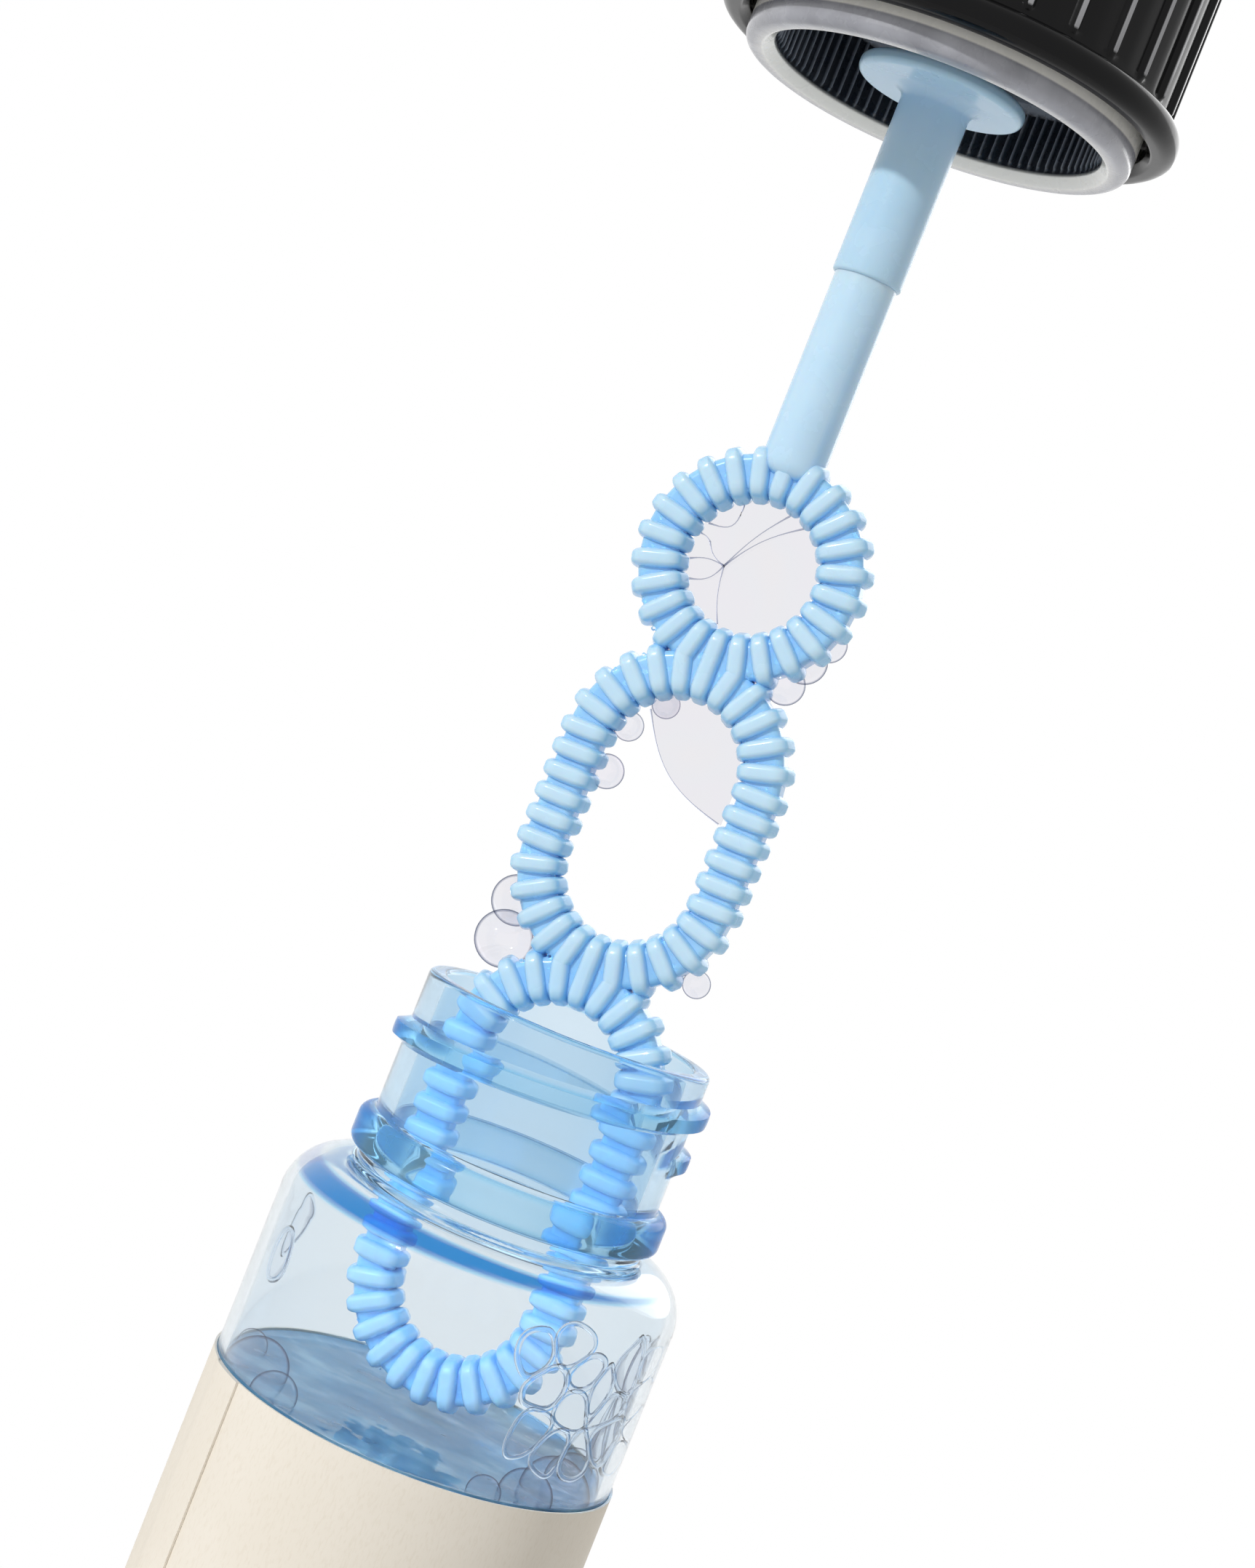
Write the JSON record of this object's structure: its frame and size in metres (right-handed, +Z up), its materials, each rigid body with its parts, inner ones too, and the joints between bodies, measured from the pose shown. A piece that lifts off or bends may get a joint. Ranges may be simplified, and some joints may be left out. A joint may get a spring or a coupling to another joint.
{
  "type": "bubble wand",
  "caption": "Screw cap with a ribbed ring wand that draws out of a clear labelled bottle of bubble solution, for dipping and blowing soap bubbles.",
  "frame": {"origin": "centre of the bottle's base, on the surface it stands on", "axes": "+Z up the axis of the bottle and the wand, -Y the front that the flat side of the rings faces, +X to the right seen from the front"},
  "size_m": [0.04, 0.04, 0.2451],
  "materials": {
    "bottle_clear": "clear, faintly blue, blow-moulded",
    "label_paper": "cream uncoated paper, unprinted",
    "solution_liquid": "clear pale blue liquid, with the density of water to a tenth",
    "wand_blue": "light blue, slightly translucent moulded plastic, wet",
    "holder_blue": "light blue, slightly translucent moulded plastic",
    "inner_cap_natural": "natural milky moulded plastic",
    "wad_foam": "white sealing foam",
    "cap_black": "glossy black"
  },
  "bodies": {
    "bottle": {"bottle": "bottle_clear", "label": "label_paper", "solution": "solution_liquid"},
    "wand": {"wand": "wand_blue", "wand_holder": "holder_blue"},
    "cap": {"outer_cap": "cap_black", "inner_cap": "inner_cap_natural", "seal_wad": "wad_foam"}
  },
  "joints": [
    {"name": "wand_pull", "type": "slide", "parent": "bottle", "child": "wand", "axis": [0, 0, 1], "range_m": [-0.097, 0.04], "deforming": ["solution"]},
    {"name": "cap_turn", "type": "hinge", "parent": "wand", "child": "cap", "pos_m": [0, 0, 0.2385], "axis": [0, 0, 1], "range_deg": [-360, 360]}
  ]
}
